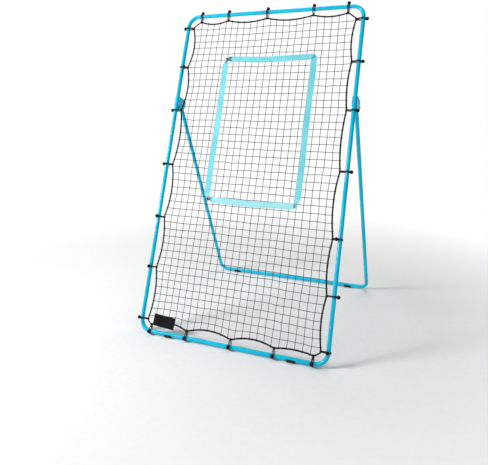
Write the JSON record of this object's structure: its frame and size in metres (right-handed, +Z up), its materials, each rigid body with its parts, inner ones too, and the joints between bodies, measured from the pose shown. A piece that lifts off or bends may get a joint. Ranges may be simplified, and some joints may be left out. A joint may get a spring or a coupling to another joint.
{
  "type": "pitch back rebounder",
  "caption": "Leaning tube frame holding a netted target panel on ball bungees, with a rear stand that folds flat on pinned hinge brackets.",
  "frame": {"origin": "on the ground, in the middle of the footprint", "axes": "+Z up, +X to the right seen from the front, +Y behind the net, which faces -Y"},
  "size_m": [1.2628, 1.241, 2.0082],
  "materials": {
    "blue_paint": "gloss powder coat",
    "zinc": "zinc plated",
    "foot_rubber": "matt",
    "netting": "knotted polyester cord",
    "black_cord": "braided",
    "webbing": "woven",
    "tag_cloth": "plain woven",
    "bungee": "braided elastic with a plastic ball"
  },
  "bodies": {
    "frame": {"bottom_bar": "blue_paint", "top_bar": "blue_paint", "left_lower_tube": "blue_paint", "left_upper_tube": "blue_paint", "right_lower_tube": "blue_paint", "right_upper_tube": "blue_paint", "left_hinge_bracket": "blue_paint", "left_pivot_rivet": "zinc", "right_hinge_bracket": "blue_paint", "right_pivot_rivet": "zinc", "front_left_foot": "foot_rubber", "front_right_foot": "foot_rubber", "left_bungee_1": "bungee", "left_bungee_2": "bungee", "left_bungee_3": "bungee", "left_bungee_4": "bungee", "left_bungee_5": "bungee", "left_bungee_6": "bungee", "left_bungee_7": "bungee", "right_bungee_1": "bungee", "right_bungee_2": "bungee", "right_bungee_3": "bungee", "right_bungee_4": "bungee", "right_bungee_5": "bungee", "right_bungee_6": "bungee", "right_bungee_7": "bungee", "top_bungee_1": "bungee", "top_bungee_2": "bungee", "top_bungee_3": "bungee", "top_bungee_4": "bungee", "top_bungee_5": "bungee", "bottom_bungee_1": "bungee", "bottom_bungee_2": "bungee", "bottom_bungee_3": "bungee", "bottom_bungee_4": "bungee", "bottom_bungee_5": "bungee"},
    "rear_stand": {"rear_bar": "blue_paint", "left_rear_leg": "blue_paint", "right_rear_leg": "blue_paint", "rear_left_foot": "foot_rubber", "rear_right_foot": "foot_rubber"},
    "net_panel": {"net": "netting", "border_rope": "black_cord", "target_band": "webbing", "blank_tag": "tag_cloth", "bottom_left_band_tie": "black_cord", "top_left_band_tie": "black_cord", "bottom_right_band_tie": "black_cord", "top_right_band_tie": "black_cord"},
    "left_pin": {"left_stop_pin": "zinc"},
    "right_pin": {"right_stop_pin": "zinc"},
    "left_bottom_button": {"left_bottom_snap_button": "zinc"},
    "left_middle_button": {"left_middle_snap_button": "zinc"},
    "left_top_button": {"left_top_snap_button": "zinc"},
    "right_bottom_button": {"right_bottom_snap_button": "zinc"},
    "right_middle_button": {"right_middle_snap_button": "zinc"},
    "right_top_button": {"right_top_snap_button": "zinc"},
    "left_rear_button": {"left_rear_snap_button": "zinc"},
    "right_rear_button": {"right_rear_snap_button": "zinc"}
  },
  "joints": [
    {"name": "stand_fold", "type": "hinge", "parent": "frame", "child": "rear_stand", "pos_m": [0, 0.00714, 1.40088], "axis": [-1, 0, 0], "range_deg": [0, 45.04]},
    {"name": "net_rebound", "type": "slide", "parent": "frame", "child": "net_panel", "axis": [0, 0.9286, -0.3711], "range_m": [-0.015, 0.015], "stiffness_N_per_m": 3000, "deforming": ["left_bungee_1", "left_bungee_2", "left_bungee_3", "left_bungee_4", "left_bungee_5", "left_bungee_6", "left_bungee_7", "right_bungee_1", "right_bungee_2", "right_bungee_3", "right_bungee_4", "right_bungee_5", "right_bungee_6", "right_bungee_7", "top_bungee_1", "top_bungee_2", "top_bungee_3", "top_bungee_4", "top_bungee_5", "bottom_bungee_1", "bottom_bungee_2", "bottom_bungee_3", "bottom_bungee_4", "bottom_bungee_5"]},
    {"name": "left_pin_pull", "type": "slide", "parent": "frame", "child": "left_pin", "axis": [-1, 0, 0], "range_m": [0, 0.038]},
    {"name": "right_pin_pull", "type": "slide", "parent": "frame", "child": "right_pin", "axis": [1, 0, 0], "range_m": [0, 0.038]},
    {"name": "left_bottom_button_press", "type": "slide", "parent": "frame", "child": "left_bottom_button", "axis": [0, 0.9286, -0.3711], "range_m": [0, 0.005], "stiffness_N_per_m": 2000},
    {"name": "left_middle_button_press", "type": "slide", "parent": "frame", "child": "left_middle_button", "axis": [0, 0.9286, -0.3711], "range_m": [0, 0.005], "stiffness_N_per_m": 2000},
    {"name": "left_top_button_press", "type": "slide", "parent": "frame", "child": "left_top_button", "axis": [0, 0.9286, -0.3711], "range_m": [0, 0.005], "stiffness_N_per_m": 2000},
    {"name": "right_bottom_button_press", "type": "slide", "parent": "frame", "child": "right_bottom_button", "axis": [0, 0.9286, -0.3711], "range_m": [0, 0.005], "stiffness_N_per_m": 2000},
    {"name": "right_middle_button_press", "type": "slide", "parent": "frame", "child": "right_middle_button", "axis": [0, 0.9286, -0.3711], "range_m": [0, 0.005], "stiffness_N_per_m": 2000},
    {"name": "right_top_button_press", "type": "slide", "parent": "frame", "child": "right_top_button", "axis": [0, 0.9286, -0.3711], "range_m": [0, 0.005], "stiffness_N_per_m": 2000},
    {"name": "left_rear_button_press", "type": "slide", "parent": "rear_stand", "child": "left_rear_button", "axis": [0, -0.9187, -0.3949], "range_m": [0, 0.005], "stiffness_N_per_m": 2000},
    {"name": "right_rear_button_press", "type": "slide", "parent": "rear_stand", "child": "right_rear_button", "axis": [0, -0.9187, -0.3949], "range_m": [0, 0.005], "stiffness_N_per_m": 2000}
  ]
}
